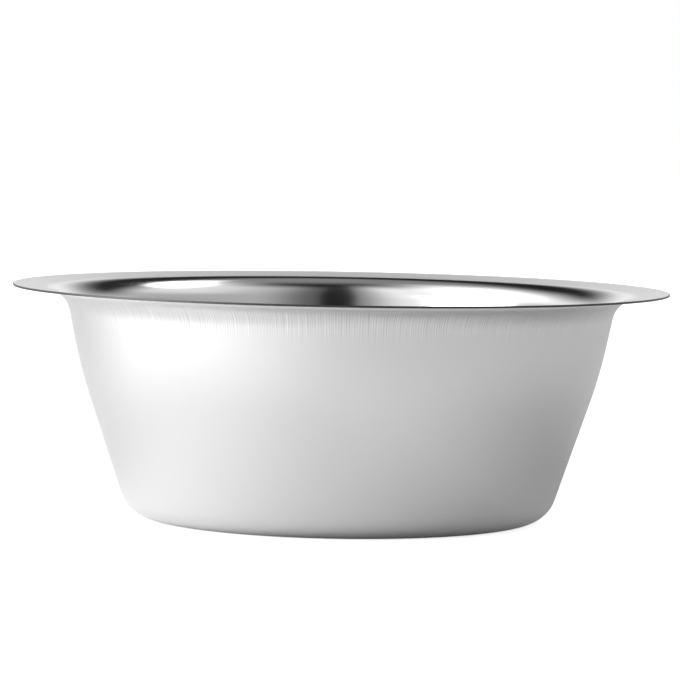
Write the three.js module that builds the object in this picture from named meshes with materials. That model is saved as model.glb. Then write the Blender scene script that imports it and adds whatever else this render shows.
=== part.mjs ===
// Cage cup of stainless steel: one round blank, drawn to a tapered cup with a flat
// base and a wide flange that flares out of the wall. The flange lies on the ring of
// a holder, or the cup stands on its base.
// Millimetres, +Z up, origin at the middle of the base's underside.
import * as THREE from 'three';

// Driving dimensions. They are outside sizes, to where the straight stretches of
// the section would meet if the bends between them were sharp.
const SHEET = 0.5;            // thickness of the steel
const HEIGHT = 55.8;          // base underside to the flange's top corner
const BASE_DIAMETER = 101.2;  // lower wall meets the base
const KNEE_DIAMETER = 125.3;  // lower wall meets the steeper upper wall
const KNEE_HEIGHT = 35.8;
const NECK_DIAMETER = 132.7;  // upper wall meets the flange's underside
const RIM_DIAMETER = 158;     // over the flange's trimmed edge
const FLANGE_RISE = 6.5;      // degrees that the flange climbs outwards

// Bends, as radii on the outside of the cup
const BASE_BEND = 8;
const KNEE_BEND = 120;
const NECK_BEND = 6;          // radius of the die that the sheet was drawn over
const EDGE_ROUNDING = 0.12;   // deburred corners of the trimmed edge

// Facets
const FACETS_AROUND = 96;
const BEND_FACET = 12;        // degrees of a bend that one facet spans
const EDGE_FACET = 45;        // the same on the trimmed edge's small corners
const FEWEST_BEND_FACETS = 2;

// Share of a straight stretch that one bend may use up
const BEND_SHARE = 0.49;

const radians = THREE.MathUtils.degToRad;
const corner = (r, z) => new THREE.Vector2(r, z);

// Turning left of the direction of travel: out along the base and up the wall,
// left is the inside of the cup.
const leftOf = (direction) => new THREE.Vector2(-direction.y, direction.x);

// One bend between two straight stretches, as stations on an arc. A station is a
// point on the outside of the sheet with the normal that crosses the sheet there.
function bendStations(before, at, after, wantedRadius, facet = BEND_FACET) {
  const arriving = at.clone().sub(before);
  const leaving = after.clone().sub(at);
  const room = BEND_SHARE * Math.min(arriving.length(), leaving.length());
  arriving.normalize();
  leaving.normalize();
  const turn = Math.atan2(arriving.cross(leaving), arriving.dot(leaving));
  const radius = Math.min(wantedRadius, room / Math.tan(Math.abs(turn) / 2));
  const tangentLength = radius * Math.tan(Math.abs(turn) / 2);
  const start = at.clone().addScaledVector(arriving, -tangentLength);
  const centre = start.clone().addScaledVector(leftOf(arriving), Math.sign(turn) * radius);
  const count = Math.max(FEWEST_BEND_FACETS, Math.ceil(Math.abs(turn) / radians(facet)));
  const origin = corner(0, 0);
  return Array.from({ length: count + 1 }, (_, i) => {
    const angle = (turn * i) / count;
    const point = start.clone().rotateAround(centre, angle);
    const normal = leftOf(arriving).rotateAround(origin, angle);
    return { point, normal };
  });
}

// Outside of the section, from the axis along the base, up the wall and out along the
// flange to its edge, which is trimmed straight up and so is a little taller than the
// sheet is thick.
function outsideStations() {
  const rise = radians(FLANGE_RISE);
  const rimRadius = RIM_DIAMETER / 2;
  const neckRadius = NECK_DIAMETER / 2;
  const edgeHeight = SHEET / Math.cos(rise);
  const rimHeight = HEIGHT - edgeHeight;
  const neckHeight = rimHeight - (rimRadius - neckRadius) * Math.tan(rise);
  const axis = corner(0, 0);
  const base = corner(BASE_DIAMETER / 2, 0);
  const knee = corner(KNEE_DIAMETER / 2, KNEE_HEIGHT);
  const neck = corner(neckRadius, neckHeight);
  const rim = corner(rimRadius, rimHeight);
  const straightUp = new THREE.Vector2(0, 1);
  return [
    { point: axis, normal: straightUp },
    ...bendStations(axis, base, knee, BASE_BEND),
    ...bendStations(base, knee, neck, KNEE_BEND),
    ...bendStations(knee, neck, rim, NECK_BEND),
    { point: rim, normal: straightUp.clone().multiplyScalar(edgeHeight / SHEET) },
  ];
}

// Closed section of the sheet: the outside, the trimmed edge with its two rounded
// corners, and the inside back to the axis, one sheet thickness away all along.
function sheetSection() {
  const stations = outsideStations();
  const inside = stations.map(({ point, normal }) => point.clone().addScaledVector(normal, SHEET));
  const outside = stations.map(({ point }) => point);
  const lowerCorner = outside.pop();
  const upperCorner = inside.pop();
  const flangeUnder = outside.at(-1);
  const flangeTop = inside.at(-1);
  const edge = [
    ...bendStations(flangeUnder, lowerCorner, upperCorner, EDGE_ROUNDING, EDGE_FACET),
    ...bendStations(lowerCorner, upperCorner, flangeTop, EDGE_ROUNDING, EDGE_FACET),
  ].map(({ point }) => point);
  return [...outside, ...edge, ...inside.reverse()];
}

// The lathe turns the section about Y, and a quarter turn stands the cup up on Z.
function drawnCup() {
  const geometry = new THREE.LatheGeometry(sheetSection(), FACETS_AROUND);
  geometry.rotateX(Math.PI / 2);
  const steel = new THREE.MeshStandardMaterial({ color: 0xc9cacb, roughness: 0.28, metalness: 1 });
  const cup = new THREE.Mesh(geometry, steel);
  cup.name = 'drawn_cup';
  return cup;
}

const cageCup = new THREE.Group();
cageCup.add(drawnCup());

export default cageCup;
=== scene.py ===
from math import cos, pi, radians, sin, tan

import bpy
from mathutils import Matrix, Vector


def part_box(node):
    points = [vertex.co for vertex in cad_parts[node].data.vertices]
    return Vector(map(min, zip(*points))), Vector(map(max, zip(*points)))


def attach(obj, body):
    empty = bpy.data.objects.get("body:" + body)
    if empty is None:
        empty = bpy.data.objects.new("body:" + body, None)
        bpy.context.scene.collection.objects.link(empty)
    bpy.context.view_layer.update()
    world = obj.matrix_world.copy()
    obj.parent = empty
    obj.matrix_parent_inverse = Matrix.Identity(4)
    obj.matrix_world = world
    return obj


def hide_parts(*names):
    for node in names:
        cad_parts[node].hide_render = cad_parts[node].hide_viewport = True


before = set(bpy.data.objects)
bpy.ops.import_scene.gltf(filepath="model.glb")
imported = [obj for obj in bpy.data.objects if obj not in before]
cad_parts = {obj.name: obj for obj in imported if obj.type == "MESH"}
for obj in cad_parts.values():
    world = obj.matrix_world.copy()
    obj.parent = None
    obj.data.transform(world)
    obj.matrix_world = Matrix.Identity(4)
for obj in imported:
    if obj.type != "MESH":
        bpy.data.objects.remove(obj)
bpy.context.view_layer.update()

# %% [markdown]
# # A cage cup of drawn steel
#
# The cup is one sheet of stainless steel, pressed into a tapered well with an open flange
# round the top. It has no seam and no second piece, so this lesson is about two things: a
# section that becomes the whole cup, and the finishes that the press and the polishing
# wheel leave on it. All lengths are metres, and the cup stands on z = 0.

MM = 0.001
scene = bpy.context.scene
scene.view_settings.view_transform = "Standard"

# %% [markdown]
# ## Nodes written as sums
#
# A node tree is easier to read as arithmetic than as a list of links. `Wire` holds one
# output of a node and knows the operators, so `1 - mask` adds its Math node by itself. Any
# other node comes from `Net.add`: its settings first, then what goes into its sockets.

# %% A wire and a net
class Wire:
    def __init__(self, net, socket):
        self.net, self.socket = net, socket

    def __add__(self, other):
        return self.net.math("ADD", self, other)

    def __radd__(self, other):
        return self.net.math("ADD", other, self)

    def __sub__(self, other):
        return self.net.math("SUBTRACT", self, other)

    def __rsub__(self, other):
        return self.net.math("SUBTRACT", other, self)

    def __mul__(self, other):
        return self.net.math("MULTIPLY", self, other)

    def __rmul__(self, other):
        return self.net.math("MULTIPLY", other, self)

    def __truediv__(self, other):
        return self.net.math("DIVIDE", self, other)

    def __rtruediv__(self, other):
        return self.net.math("DIVIDE", other, self)

    def __gt__(self, other):
        return self.net.math("GREATER_THAN", self, other)


class Net:
    def __init__(self, tree):
        self.tree = tree

    def feed(self, node, inputs):
        for name, value in inputs.items():
            if isinstance(value, Wire):
                self.tree.links.new(value.socket, node.inputs[name])
            else:
                node.inputs[name].default_value = value

    def add(self, kind, settings=None, inputs=None, output=0):
        node = self.tree.nodes.new(kind)
        for name, value in (settings or {}).items():
            setattr(node, name, value)
        self.feed(node, inputs or {})
        return Wire(self, node.outputs[output])

    def math(self, operation, *values):
        return self.add("ShaderNodeMath", {"operation": operation}, dict(enumerate(values)))

    def vector(self, x, y, z):
        return self.add("ShaderNodeCombineXYZ", None, {"X": x, "Y": y, "Z": z})

    def parts(self, vector):
        first = self.add("ShaderNodeSeparateXYZ", None, {"Vector": vector})
        return [Wire(self, socket) for socket in first.socket.node.outputs]

    def smooth(self, value, low, high, at_low=0.0, at_high=1.0):
        ends = {"From Min": low, "From Max": high, "To Min": at_low, "To Max": at_high}
        settings = {"interpolation_type": "SMOOTHSTEP"}
        return self.add("ShaderNodeMapRange", settings, {"Value": value, **ends})

    def noise(self, place, scale, detail, roughness=0.5):
        inputs = {"Vector": place, "Scale": scale, "Detail": detail, "Roughness": roughness}
        return self.add("ShaderNodeTexNoise", None, inputs)

    def bump(self, height, depth):
        inputs = {"Strength": 1.0, "Distance": depth, "Height": height}
        return self.add("ShaderNodeBump", None, inputs, "Normal")


print("nodes are written as", Wire.__name__, "and", Net.__name__)

# %% [markdown]
# ## The steel
#
# Bare metal shows what it mirrors, so its finish is mostly in the roughness, the grain and the
# small bumps. A satin grain in one direction smears what the surface mirrors across that
# direction: Anisotropic on the shader does it, and because its default direction runs round
# the z axis, upright draw lines need no extra node. One function starts all three finishes.

# %% Start of a steel finish
STEEL = (0.66, 0.66, 0.665, 1.0)


def new_steel(name, colour=STEEL, anisotropic=0.0):
    material = bpy.data.materials.new(name)
    material.use_nodes = True
    shader = material.node_tree.nodes["Principled BSDF"]
    net = Net(material.node_tree)
    net.feed(shader, {"Base Color": colour, "Metallic": 1.0, "Anisotropic": anisotropic})
    place = net.add("ShaderNodeTexCoord", None, None, "Object")
    return material, net, shader, place


print("plain steel:", STEEL[:3])

# %% Places on a round piece, and marks
def round_the_axis(net, place):
    """Direction from the axis, which has no seam, and the height."""
    x, y, z = net.parts(place)
    flat = net.vector(x, y, 0.0)
    outwards = net.add("ShaderNodeVectorMath", {"operation": "NORMALIZE"}, {0: flat})
    across, along, _ = net.parts(outwards)
    return across, along, z


def from_axis(net, place):
    """Distance from the axis."""
    x, y, _ = net.parts(place)
    return net.math("SQRT", x * x + y * y)


def weighed(amounts, marks):
    """The plain amount, and each mark times the amount that has its name."""
    added = [marks[name] * amount for name, amount in amounts.items() if name in marks]
    return sum(added, amounts["plain"])


print("a finish is", weighed.__name__, "from its marks")

# %% [markdown]
# ## Satin outside, with the lines of the draw
#
# The die scores the outside as the sheet slides over its rounded edge, so fine upright lines
# run down from the flange and soon fade. Noise alone could make them, but its spacing varies
# so much that it looks like fur. A sine of the angle round the axis keeps the spacing, a whole
# number of lines closes without a seam, and noise lets each line wander and come and go. The
# scored bend just under the flange is also painted a little darker, a painted shade, and the
# flange's underside is painted paler, a painted highlight; the underside has no lines.

# %% Sizes and strengths of the outside's marks
NECK_RADIUS = 66.35 * MM
LINES_AROUND = 700
LINE_DEPTH = 0.0005 * MM
WANDER = 14.0  # radians of the sine by which noise moves a line
WANDER_SCALE, BREAK_SCALE, CLOUD_SCALE = 700.0, 1700.0, 45.0  # of the noises, per metre
DOWN_A_LINE = 0.05  # share of the height that the noise sees, so that lines stay long
BREAKS = 0.3, 0.7  # levels of noise over which a line comes and goes
SCORED = 45.5 * MM, 50.5 * MM  # heights over which the lines grow to their full strength
FAINT, FULL = 0.04, 1.0  # strength of the lines below these heights and above them
# Painted shade: the wall just under the flange is painted darker, growing in over the first of the
# next two height ranges and fading out over the second.
BEND_SHADE = 48.8 * MM, 51.5 * MM  # heights over which the wall starts to bend outwards
BEND_END = 52.5 * MM, 54.4 * MM  # heights over which the lines and the darker bend end
FLANGE_UNDERSIDE = 68 * MM, 71 * MM  # radii over which the bend goes over into the flange
GRAIN = 0.6
# Painted light in the tone: the underside's share makes the flange's underside paler, a painted
# highlight, and the bend's share darkens the wall just under the flange, a painted shade. The lines
# and the clouds are the steel's own marks.
OUTSIDE_TONE = {"plain": 1.08, "underside_rough_and_painted_pale": 0.3, "bend_shade": -0.08, "lines": 0.2, "clouds": 0.05}
OUTSIDE_ROUGHNESS = {"plain": 0.36, "underside_rough_and_painted_pale": 0.14, "lines": 0.04, "clouds": 0.06}
print("draw lines:", round(2 * pi * NECK_RADIUS / LINES_AROUND / MM, 2), "mm apart")

# %% Drawn outside
drawn_outside, net, shader, place = new_steel("drawn_outside", anisotropic=GRAIN)
across, along, height = round_the_axis(net, place)
round_about = net.vector(across * NECK_RADIUS, along * NECK_RADIUS, height * DOWN_A_LINE)
wander = net.noise(round_about, WANDER_SCALE, detail=2.0)
lines = net.math("SINE", net.math("ARCTAN2", across, along) * LINES_AROUND + wander * WANDER)
lines = lines * net.smooth(net.noise(round_about, BREAK_SCALE, detail=1.0), *BREAKS)
below_flange = net.smooth(height, *BEND_END, 1.0, 0.0)
marks = {
    # painted highlight: the underside is paler in tone; its extra roughness is its own
    "underside_rough_and_painted_pale": net.smooth(from_axis(net, place), *FLANGE_UNDERSIDE),
    # painted shade: the wall is darker just under the flange
    "bend_shade": net.smooth(height, *BEND_SHADE) * below_flange,
    "lines": lines * (net.smooth(height, *SCORED, FAINT, FULL) * below_flange),
    "clouds": net.noise(place, CLOUD_SCALE, detail=3.0) - 0.5,
}
tone = weighed(OUTSIDE_TONE, marks)
colour = net.add("ShaderNodeVectorMath", {"operation": "SCALE"}, {0: STEEL[:3], "Scale": tone})
roughness = weighed(OUTSIDE_ROUGHNESS, marks)
relief = net.bump(marks["lines"], LINE_DEPTH)
net.feed(shader, {"Base Color": colour, "Roughness": roughness, "Normal": relief})
print("outside:", len(drawn_outside.node_tree.nodes), "nodes")

# %% [markdown]
# ## Polished inside and on top of the flange
#
# The wheel runs round the cup, so the few marks that it leaves are rings. A ring texture would
# be too even, so they are noise, slow round the axis and quick along the radius and the
# height. The flat of the flange was pressed between two tools and is a little duller.

# %% Polished inside
RING_SCALE, RING_DEPTH = 2200.0, 0.0015 * MM
RING_DRIFT = 4 * MM  # the noise is read round a circle this small, so a ring changes slowly
FLANGE_TOP = 69 * MM, 72 * MM  # radii over which the bend goes over into the flange
INSIDE_ROUGHNESS = {"plain": 0.14, "flange": 0.1, "rings": 0.05}

polished_inside, net, shader, place = new_steel("polished_inside")
across, along, height = round_the_axis(net, place)
radius = from_axis(net, place)
rings_at = net.vector(across * RING_DRIFT, along * RING_DRIFT, radius + height)
rings = net.noise(rings_at, RING_SCALE, detail=2.0)
marks = {"flange": net.smooth(radius, *FLANGE_TOP), "rings": rings - 0.5}
roughness = weighed(INSIDE_ROUGHNESS, marks)
net.feed(shader, {"Roughness": roughness, "Normal": net.bump(rings, RING_DEPTH)})
print("inside:", len(polished_inside.node_tree.nodes), "nodes")

# %% [markdown]
# ## The trimmed edge
#
# After the draw the flange is trimmed round and deburred. The shear leaves a duller and somewhat
# darker band than the rolled faces of the sheet, with short upright marks, and its colour is
# painted darker still, nearly black, a painted shade for the dark that the edge mirrors. At half a
# millimetre it is one thin line round the rim, so plain noise is enough.

# %% Trimmed edge
# Painted shade: the edge's grey is nearly black to stand for the dark that its face mirrors.
EDGE_GREY_AND_PAINTED_SHADE = (0.1, 0.1, 0.1, 1.0)
EDGE_ROUGHNESS = {"plain": 0.36, "shear": 0.18}
SHEAR_SCALE, SHEAR_DEPTH = 160.0, 0.02 * MM
SHEAR_RISE = 4.0  # the direction round the axis has length 1, and the height is in metres

trimmed_edge, net, shader, place = new_steel("trimmed_edge", EDGE_GREY_AND_PAINTED_SHADE)
across, along, height = round_the_axis(net, place)
shear_at = net.vector(across, along, height * SHEAR_RISE)
shear = net.noise(shear_at, SHEAR_SCALE, detail=4.0, roughness=0.65)
roughness = weighed(EDGE_ROUGHNESS, {"shear": shear})
net.feed(shader, {"Roughness": roughness, "Normal": net.bump(shear, SHEAR_DEPTH)})
print("edge:", len(trimmed_edge.node_tree.nodes), "nodes")

# %% [markdown]
# ## The section, and the cup from it
#
# A drawn cup could be a cylinder with loops pushed about by hand, but a press makes it by a
# rule: straight stretches, a bend of a known radius between them, and one thickness all
# along. Geometry Nodes can hold that rule. Five corner points make the outside of the sheet,
# Fillet Curve rounds them, the same line moved one sheet to its left is the inside, and a
# grid of points wraps the closed section round the axis.

# %% Sizes of the section
FLANGE_RISE = radians(6.5)
EDGE_ROUNDING = 0.12 * MM
_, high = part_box("drawn_cup")
rounded_off = EDGE_ROUNDING * (tan(radians(45) + FLANGE_RISE / 2) - 1)
SIZES = {
    "Rim Radius": high[0],
    "Height": high[2] + rounded_off,
    "Neck Radius": NECK_RADIUS,
    "Knee Radius": 62.65 * MM,
    "Knee Height": 35.8 * MM,
    "Base Radius": 50.6 * MM,
    "Flange Rise": FLANGE_RISE,
    "Sheet": 0.5 * MM,
    "Base Bend": 8 * MM,
    "Knee Bend": 120 * MM,
    "Neck Bend": 6 * MM,
    "Edge Rounding": EDGE_ROUNDING,
    "Longest Stretch": 2.5 * MM,
}
COUNTS = {"Bend Facets": 16, "Edge Facets": 5, "Facets Around": 360}
FINISHES = {"Outside": drawn_outside, "Inside": polished_inside, "Edge": trimmed_edge}
print("rim", round(SIZES["Rim Radius"] / MM, 2), "mm, height", round(SIZES["Height"] / MM, 2), "mm")

# %% A tree with named inputs
tree = bpy.data.node_groups.new("drawn_cup", "GeometryNodeTree")
for names, kind in ((SIZES, "Float"), (COUNTS, "Int"), (FINISHES, "Material")):
    for name in names:
        tree.interface.new_socket(name, in_out="INPUT", socket_type="NodeSocket" + kind)
tree.interface.new_socket("Cup", in_out="OUTPUT", socket_type="NodeSocketGeometry")
net = Net(tree)
group_input = tree.nodes.new("NodeGroupInput")
given = {socket.name: Wire(net, socket) for socket in group_input.outputs if socket.name}
rim, neck, knee, base = (given[name + " Radius"] for name in ("Rim", "Neck", "Knee", "Base"))
sheet, rise = given["Sheet"], given["Flange Rise"]
print("inputs:", ", ".join(given))

# %% [markdown]
# ### The outside of the sheet
#
# Index Switch hands each of the five points its corner. The flange is trimmed straight up,
# so its edge is a little taller than the sheet is thick. Long stretches are cut into short
# ones, because shading blends over a whole face and a long face would look bent.

# %% Corners and bends
edge_height = sheet / net.math("COSINE", rise)
rim_height = given["Height"] - edge_height
neck_height = rim_height - (rim - neck) * net.math("TANGENT", rise)
corners = [
    net.vector(0.0, 0.0, 0.0),
    net.vector(base, 0.0, 0.0),
    net.vector(knee, 0.0, given["Knee Height"]),
    net.vector(neck, 0.0, neck_height),
    net.vector(rim, 0.0, rim_height),
]
bends = [0.0, given["Base Bend"], given["Knee Bend"], given["Neck Bend"], 0.0]
print("outside of the sheet:", len(corners), "corners")

# %% Outside of the section
position = net.add("GeometryNodeInputPosition")
index = net.add("GeometryNodeInputIndex")


def pick(kind, choices):
    """A field that gives point 0 the first choice, point 1 the second, and so on."""
    switch = tree.nodes.new("GeometryNodeIndexSwitch")
    switch.data_type = kind
    while len(switch.index_switch_items) < len(choices):
        switch.index_switch_items.new()
    net.feed(switch, {0: index, **{i + 1: choice for i, choice in enumerate(choices)}})
    return Wire(net, switch.outputs[0])


line = net.add("GeometryNodeMeshLine", None, {"Count": len(corners)})
line = net.add("GeometryNodeSetPosition", None, {
    "Geometry": line, "Position": pick("VECTOR", corners)})
line = net.add("GeometryNodeMeshToCurve", None, {"Mesh": line})
line = net.add("GeometryNodeFilletCurve", {"mode": "POLY"}, {
    "Curve": line, "Count": given["Bend Facets"],
    "Radius": pick("FLOAT", bends), "Limit Radius": True})
following = net.add("GeometryNodeSampleIndex", {"data_type": "FLOAT_VECTOR", "clamp": True}, {
    "Geometry": line, "Value": position, "Index": index + 1.0})
stretch = net.add("ShaderNodeVectorMath", {"operation": "DISTANCE"}, {
    0: position, 1: following}, "Value")
cuts = net.math("FLOOR", stretch / given["Longest Stretch"])
outside = net.add("GeometryNodeSubdivideCurve", None, {"Curve": line, "Cuts": cuts})
print("outside of the section:", len(tree.nodes), "nodes so far")

# %% [markdown]
# ### The thickness and the trimmed edge
#
# Left of the way that the line runs is the inside of the cup. The points of both sides go
# into one line by their order: out along the outside, back along the inside. The two points
# at the rim are the corners of the edge, and a second, tiny fillet deburrs them.

# %% Inside of the section
along_x, _, along_z = net.parts(net.add("GeometryNodeInputTangent"))
leftwards = net.vector(0.0 - along_z * sheet, 0.0, along_x * sheet)
at_rim = net.add("GeometryNodeCurveEndpointSelection", None, {"Start Size": 0, "End Size": 1})
step_in = net.add("GeometryNodeSwitch", {"input_type": "VECTOR"}, {
    "Switch": at_rim, "False": leftwards, "True": net.vector(0.0, 0.0, edge_height)})
inside = net.add("GeometryNodeSetPosition", None, {"Geometry": outside, "Offset": step_in})
print("inside of the section:", len(tree.nodes), "nodes so far")

# %% Closed section
CORNER_REACH = 0.6  # in points: from midway between the two corners it takes in just these


def point_count(curve):
    return net.add("GeometryNodeAttributeDomainSize", {"component": "CURVE"}, {
        "Geometry": curve}, "Point Count")


count = point_count(outside)
joined = tree.nodes.new("GeometryNodeJoinGeometry")
for side, order in ((outside, index), (inside, 2.0 * count - 1.0 - index)):
    points = net.add("GeometryNodeCurveToPoints", {"mode": "EVALUATED"}, {"Curve": side})
    points = net.add("GeometryNodeStoreNamedAttribute", {"data_type": "FLOAT", "domain": "POINT"}, {
        "Geometry": points, "Name": "order", "Value": order})
    net.feed(joined, {"Geometry": points})
placed = net.add("GeometryNodeInputNamedAttribute", {"data_type": "FLOAT"}, {"Name": "order"})
section = net.add("GeometryNodePointsToCurves", None, {
    "Points": Wire(net, joined.outputs[0]), "Weight": placed})
is_corner = net.math("COMPARE", index, count - 0.5, CORNER_REACH)
section = net.add("GeometryNodeFilletCurve", {"mode": "POLY"}, {
    "Curve": section, "Count": given["Edge Facets"],
    "Radius": is_corner * given["Edge Rounding"], "Limit Radius": True})
print("closed section:", len(tree.nodes), "nodes so far")

# %% [markdown]
# ### Round the axis
#
# A grid has a row for each point of the section and a column for each step round the axis.
# Its last column falls on its first and its end rows fall on the axis, where Merge by
# Distance closes the mesh. A cup that tapers looks down everywhere outside and up everywhere
# inside, so the sign of a face's normal tells which finish it has.

# %% Lathe
TOUCHING = 0.001 * MM

rows = point_count(section)
grid = net.add("GeometryNodeMeshGrid", None, {
    "Vertices X": given["Facets Around"] + 1.0, "Vertices Y": rows})
row = net.math("MODULO", index, rows)
column = net.math("FLOOR", index / rows)
point = net.add("GeometryNodeSampleIndex", {"data_type": "FLOAT_VECTOR"}, {
    "Geometry": section, "Value": position, "Index": row})
radius, _, height = net.parts(point)
angle = column * (2 * pi) / given["Facets Around"]
turned = net.vector(radius * net.math("COSINE", angle), radius * net.math("SINE", angle), height)
cup = net.add("GeometryNodeSetPosition", None, {"Geometry": grid, "Position": turned})
cup = net.add("GeometryNodeMergeByDistance", None, {"Geometry": cup, "Distance": TOUCHING})
cup = net.add("GeometryNodeSetShadeSmooth", None, {"Geometry": cup, "Shade Smooth": True})
print("lathe:", COUNTS["Facets Around"], "steps round the axis")

# %% A finish for each face
_, _, upwards = net.parts(net.add("GeometryNodeInputNormal"))
on_edge = from_axis(net, position) > rim - given["Edge Rounding"]
zones = {"Outside": True, "Inside": upwards > 0.0, "Edge": on_edge}
cup = net.add("GeometryNodeRealizeInstances", None, {"Geometry": cup})
for name, zone in zones.items():
    cup = net.add("GeometryNodeSetMaterial", None, {
        "Geometry": cup, "Selection": zone, "Material": given[name]})
group_output = tree.nodes.new("NodeGroupOutput")
net.feed(group_output, {"Cup": cup})
print("finishes:", ", ".join(zones), "in a tree of", len(tree.nodes), "nodes")

# %% The cup as a plain mesh
def grow(name, tree, values):
    """Run a tree with the given inputs and keep the outcome as an object with a plain mesh."""
    seed = bpy.data.objects.new(name, bpy.data.meshes.new(name + "_seed"))
    scene.collection.objects.link(seed)
    modifier = seed.modifiers.new(name, "NODES")
    modifier.node_group = tree
    for socket in tree.interface.items_tree:
        if socket.in_out == "INPUT":
            modifier[socket.identifier] = values[socket.name]
    graph = bpy.context.evaluated_depsgraph_get()
    mesh = bpy.data.meshes.new_from_object(seed.evaluated_get(graph), depsgraph=graph)
    seed.modifiers.remove(modifier)
    seed.data = mesh
    mesh.materials.pop(index=0)  # the grid starts with an empty slot
    return seed


cage_cup = grow("cage_cup", tree, {**SIZES, **COUNTS, **FINISHES})
print("cup:", len(cage_cup.data.vertices), "points,", [m.name for m in cage_cup.data.materials])

# %% [markdown]
# ## On the frame
#
# The drawn cup takes the place of its solid, and rides on the body of that solid.

# %% On the frame
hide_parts("drawn_cup")
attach(cage_cup, "root")
print(cage_cup.name, "is on the frame")

# %% [markdown]
# ## The floor
#
# A plain pale sheet, which ends between the cup and the camera, so that the steel mirrors the
# dark of the room beyond it. A brighter lamp would make the sheet white, but it would bleach
# the cup too. So the sheet glows where the camera sees it and goes over into the white
# background, while the shadow under the cup stays. In the steel it glows at the front left, on
# the side of the key lamp, and only a very little elsewhere, so the other side stays grey.

# %% Finish of the floor
PAPER = (0.72, 0.72, 0.72, 1.0)
GLOW_SEEN, GLOW_MIRRORED, GLOW_KEY_SIDE = 0.8, 0.03, 0.26
KEY_SIDE_X = 0.0, -80 * MM  # the glow in the steel grows to the left over these places
KEY_SIDE_Y = 60 * MM, -40 * MM  # and to the front over these

white_sheet = bpy.data.materials.new("white_sheet")
white_sheet.use_nodes = True
net = Net(white_sheet.node_tree)
net.tree.nodes.remove(net.tree.nodes["Principled BSDF"])
paths = net.add("ShaderNodeLightPath").socket.node.outputs
seen, glossy, transmitted = (
    Wire(net, paths[f"Is {kind} Ray"]) for kind in ("Camera", "Glossy", "Transmission"))
mirrored = net.math("MAXIMUM", glossy, transmitted)
x, y, _ = net.parts(net.add("ShaderNodeTexCoord", None, None, "Object"))
key_side = net.smooth(x, *KEY_SIDE_X) * net.smooth(y, *KEY_SIDE_Y)
glow_colour = seen * GLOW_SEEN + mirrored * (key_side * GLOW_KEY_SIDE + GLOW_MIRRORED)
paper = net.add("ShaderNodeBsdfDiffuse", None, {"Color": PAPER})
glow = net.add("ShaderNodeEmission", None, {"Color": glow_colour, "Strength": 1.0})
both = net.add("ShaderNodeAddShader", None, {0: paper, 1: glow})
net.feed(net.tree.nodes["Material Output"], {"Surface": both})
print("floor:", len(net.tree.nodes), "nodes")

# %% Floor
FLOOR_HALF, FLOOR_FRONT = 4.0, -0.45
left, right, back = -FLOOR_HALF, FLOOR_HALF, FLOOR_HALF
floor_corners = [(left, FLOOR_FRONT, 0), (right, FLOOR_FRONT, 0), (right, back, 0), (left, back, 0)]
floor_mesh = bpy.data.meshes.new("white_sheet")
floor_mesh.from_pydata(floor_corners, [], [(0, 1, 2, 3)])
floor_mesh.materials.append(white_sheet)
floor = bpy.data.objects.new("white_sheet", floor_mesh)
scene.collection.objects.link(floor)
print("floor:", right - left, "m wide, from", FLOOR_FRONT, "m to", back, "m")

# %% [markdown]
# ## The studio
#
# Polished steel shows the room, so the room is written out as brightness over the direction: a
# white wall low behind, a large screen on the left with a brighter light in it, a weaker screen
# on the right that is brighter higher up, a window high behind on the right, and a dark gap
# where the camera stands. Lamps could stand for all of these, but a lamp has hard edges, and a
# ramp over some degrees has soft ones. Only the key lamp is a real one, close to the cup and
# low on its left.

# %% Directions
studio = bpy.data.worlds.new("studio")
studio.use_nodes = True
scene.world = studio
net = Net(studio.node_tree)
x, y, z = net.parts(net.add("ShaderNodeTexCoord", None, None, "Generated"))
azimuth = net.math("ARCTAN2", x, 0.0 - y)
elevation = net.math("ARCSINE", z)


def ramp(value, start, stop):
    """0 up to the start and 1 from the stop on, in degrees; the stop may lie before the start."""
    return net.smooth(value, radians(start), radians(stop))


def band(value, start, full, last, end):
    """0 at the start, 1 from full to last, and 0 again at the end, in degrees."""
    return ramp(value, start, full) * ramp(value, end, last)


print("ramps are in degrees: from the camera to the picture's right, and up from the floor")

# %% Screens, wall and window, where a brightness of 1 is white
DARK, OVERHEAD, SIDE_LIGHT, WINDOW = 0.015, 0.3, 1.5, 7.0
LEFT_NEAR = 0.3  # starts at the dark gap, and adds to the 1 that the screen grows to
RIGHT_NEAR, RIGHT_FAR, RIGHT_HIGH = 0.14, 0.46, 0.45
BACK_HALF = -0.2, 0.3  # share of the direction that points backwards

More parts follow.
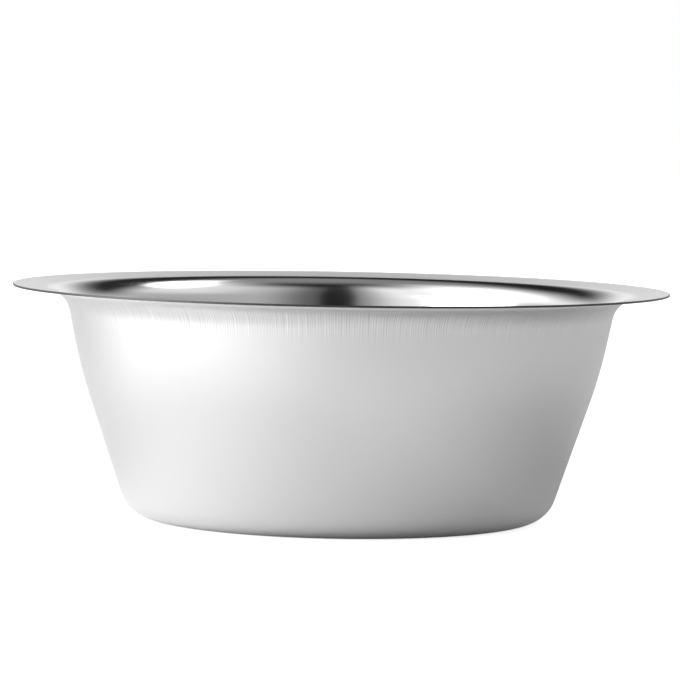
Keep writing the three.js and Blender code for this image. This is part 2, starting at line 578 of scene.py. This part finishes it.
behind = ramp(net.math("ABSOLUTE", azimuth), 100, 140) * ramp(elevation, 31, 9)
overhead = net.smooth(y, *BACK_HALF) * ramp(elevation, 42, 58)
left_edge = ramp(azimuth, -5, -8) * LEFT_NEAR + ramp(azimuth, -5, -32)
left_screen = left_edge * ramp(azimuth, -156, -104) * band(elevation, -2, 26, 56, 88)
side_light = band(azimuth, -44, -84, -90, -130) * band(elevation, 18, 44, 48, 80)
right_edge = ramp(azimuth, 8, 12) * RIGHT_NEAR + ramp(azimuth, 12, 42) * RIGHT_FAR
right_edge = right_edge + ramp(azimuth, 30, 80) * ramp(elevation, 24, 40) * RIGHT_HIGH
right_screen = right_edge * ramp(azimuth, 144, 104) * band(elevation, 0, 20, 54, 78)
window = band(azimuth, 88, 128, 130, 158) * band(elevation, 43, 53, 54, 65)
room = DARK + behind + overhead * OVERHEAD + left_screen + side_light * SIDE_LIGHT
room = room + right_screen + window * WINDOW
seen = net.add("ShaderNodeLightPath", None, None, "Is Camera Ray")
strength = seen + (1.0 - seen) * room
white = (1.0, 1.0, 1.0, 1.0)
net.feed(studio.node_tree.nodes["Background"], {"Color": white, "Strength": strength})
print("room:", len(studio.node_tree.nodes), "nodes")

# %% Key lamp
KEY_AZIMUTH = radians(-68)
KEY_DISTANCE, KEY_HEIGHT = 0.3, 0.14
KEY_WIDTH, KEY_TALL = 0.24, 0.28
KEY_BRIGHTNESS = 4.2
AIM = Vector((0, 0, 30 * MM))

lamp = bpy.data.lights.new("low_key", "AREA")
lamp.shape = "RECTANGLE"
lamp.size, lamp.size_y = KEY_WIDTH, KEY_TALL
lamp.energy = KEY_BRIGHTNESS * pi * KEY_WIDTH * KEY_TALL
low_key = bpy.data.objects.new("low_key", lamp)
low_key.location = (KEY_DISTANCE * sin(KEY_AZIMUTH), -KEY_DISTANCE * cos(KEY_AZIMUTH), KEY_HEIGHT)
low_key.rotation_euler = (AIM - low_key.location).to_track_quat("-Z", "Y").to_euler()
low_key.visible_camera = False
scene.collection.objects.link(low_key)
print("key lamp:", round(lamp.energy, 2), "W")

# %% [markdown]
# ## The camera
#
# A long lens about a metre away and a little above the rim. Its place was fitted to the
# outlines of the rim, the wall and the base.

# %% Camera
CAMERA_AT = (0.0, -0.92995, 0.10380)
PITCH, ROLL = 0.06533, 0.01789  # radians down from level, and about the line of sight
SENSOR_WIDTH, LENS = 36.0, 204.36  # millimetres, as Blender counts them
SHIFT = -0.00087  # of the picture's width

camera = bpy.data.objects.new("camera", bpy.data.cameras.new("camera"))
camera.data.sensor_width = SENSOR_WIDTH
camera.data.lens = LENS
camera.data.shift_x = SHIFT
turn = Matrix.Rotation(pi / 2 - PITCH, 4, "X") @ Matrix.Rotation(ROLL, 4, "Z")
camera.matrix_world = Matrix.Translation(CAMERA_AT) @ turn
scene.collection.objects.link(camera)
scene.camera = camera
print("camera:", LENS, "mm lens")
